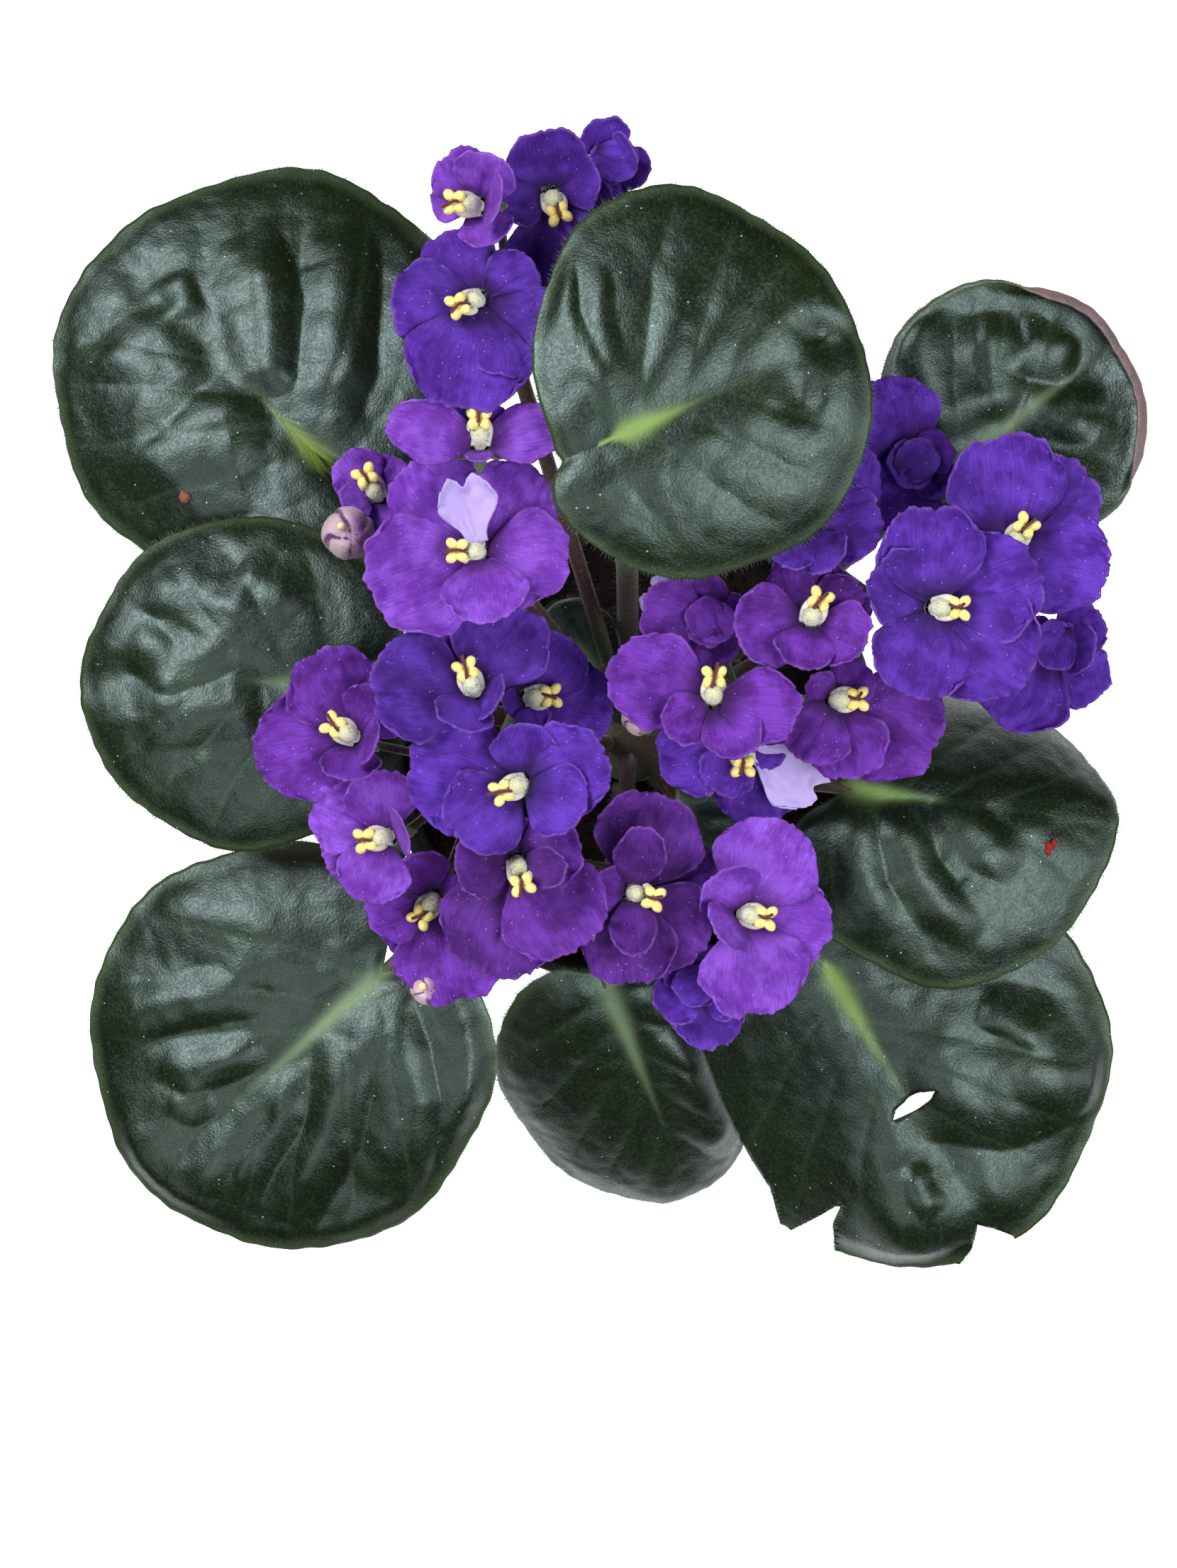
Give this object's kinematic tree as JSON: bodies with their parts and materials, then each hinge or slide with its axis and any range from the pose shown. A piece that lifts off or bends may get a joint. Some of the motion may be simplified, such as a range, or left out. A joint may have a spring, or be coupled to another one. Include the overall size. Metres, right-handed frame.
{
  "type": "potted african violet",
  "caption": "Flowering houseplant: a rosette of round hairy leaves on long petioles with clusters of violet blooms above it, growing in a plain tapered round pot of potting mix.",
  "frame": {"origin": "centre of the pot's foot, on the surface that the pot stands on", "axes": "+Z up along the pot's axis; +Y towards the highest leaf and the tall flower stalk at the plant's far side, +X to the right as the plant is seen from above with +Y upwards"},
  "size_m": [0.2077, 0.213, 0.1661],
  "materials": {
    "pot": "plain dark moulded plastic",
    "potting_mix": "crumbly dark peat mix",
    "leaf": "hairy quilted dark green with paler veins and margin",
    "stalk": "hairy green and reddish brown",
    "petal_blue_violet": "velvety deep blue violet with a fine sparkle",
    "petal_violet": "velvety violet with a fine sparkle",
    "petal_light_violet": "velvety light violet with a fine sparkle",
    "anther": "smooth bright yellow"
  },
  "bodies": {
    "root": {"pot": "pot", "potting_mix": "potting_mix", "leaf_1": "leaf", "leaf_2": "leaf", "leaf_3": "leaf", "leaf_4": "leaf", "leaf_5": "leaf", "leaf_6": "leaf", "leaf_7": "leaf", "leaf_8": "leaf", "crown_and_stalks": "stalk", "bloom_01": "petal_blue_violet", "bloom_02": "petal_blue_violet", "stamens_02": "anther", "bloom_03": "petal_blue_violet", "bloom_04": "petal_blue_violet", "bloom_05": "petal_violet", "bloom_06": "petal_blue_violet", "bloom_07": "petal_light_violet", "stamens_07": "anther", "bloom_08": "petal_violet", "stamens_08": "anther", "bloom_09": "petal_blue_violet", "stamens_09": "anther", "bloom_10": "petal_light_violet", "stamens_10": "anther", "bloom_11": "petal_violet", "stamens_11": "anther", "bloom_12": "petal_violet", "stamens_12": "anther", "bloom_13": "petal_violet", "stamens_13": "anther", "bloom_14": "petal_violet", "stamens_14": "anther", "bloom_15": "petal_light_violet", "stamens_15": "anther", "bloom_16": "petal_blue_violet", "stamens_16": "anther", "bloom_17": "petal_blue_violet", "stamens_17": "anther", "bloom_18": "petal_violet", "stamens_18": "anther", "bloom_19": "petal_blue_violet", "stamens_19": "anther", "bloom_20": "petal_violet", "stamens_20": "anther", "bloom_21": "petal_blue_violet", "stamens_21": "anther", "bloom_22": "petal_light_violet", "stamens_22": "anther", "bloom_23": "petal_light_violet", "stamens_23": "anther", "bloom_24": "petal_blue_violet", "stamens_24": "anther", "bloom_25": "petal_blue_violet", "stamens_25": "anther", "bloom_26": "petal_light_violet", "stamens_26": "anther", "bloom_27": "petal_blue_violet", "stamens_27": "anther"}
  },
  "joints": []
}
